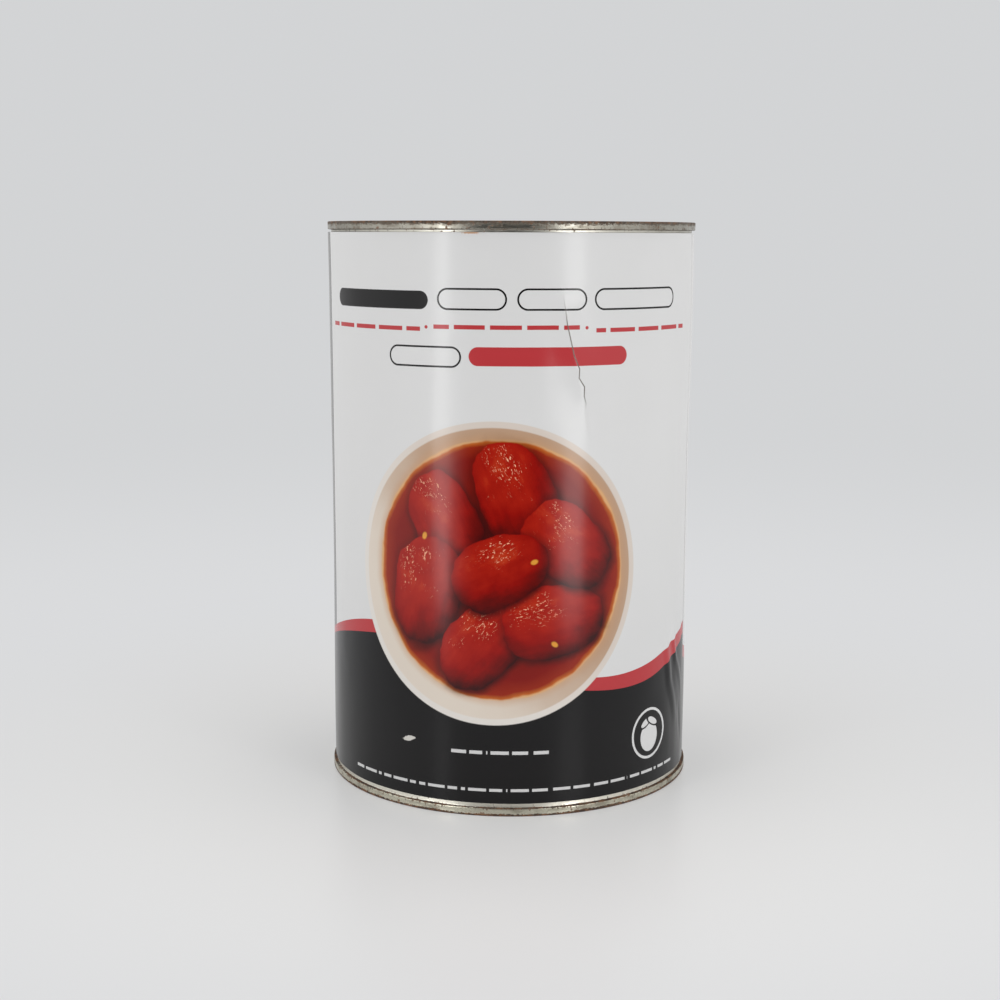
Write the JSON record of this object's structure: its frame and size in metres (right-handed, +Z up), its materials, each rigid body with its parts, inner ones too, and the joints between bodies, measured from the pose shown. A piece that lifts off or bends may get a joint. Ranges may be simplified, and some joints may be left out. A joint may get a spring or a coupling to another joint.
{
  "type": "tin of tomatoes",
  "caption": "Large round food tin with seamed ends and a lapped paper label: white above, a bowl of tomatoes in the middle, a wavy red and black band below.",
  "frame": {"origin": "centre of the underside, on the plane the lower seam stands on", "axes": "+Z up along the can's axis, -Y out through the middle of the label's picture side, +X to that side's right"},
  "size_m": [0.157, 0.157, 0.238],
  "materials": {
    "tinplate": "semi-gloss tinplate with brown rust specks along the seams",
    "label_paper": "glossy coated paper, printed"
  },
  "bodies": {
    "root": {"can_body": "tinplate", "top_end": "tinplate", "bottom_end": "tinplate", "label": "label_paper"}
  },
  "joints": []
}
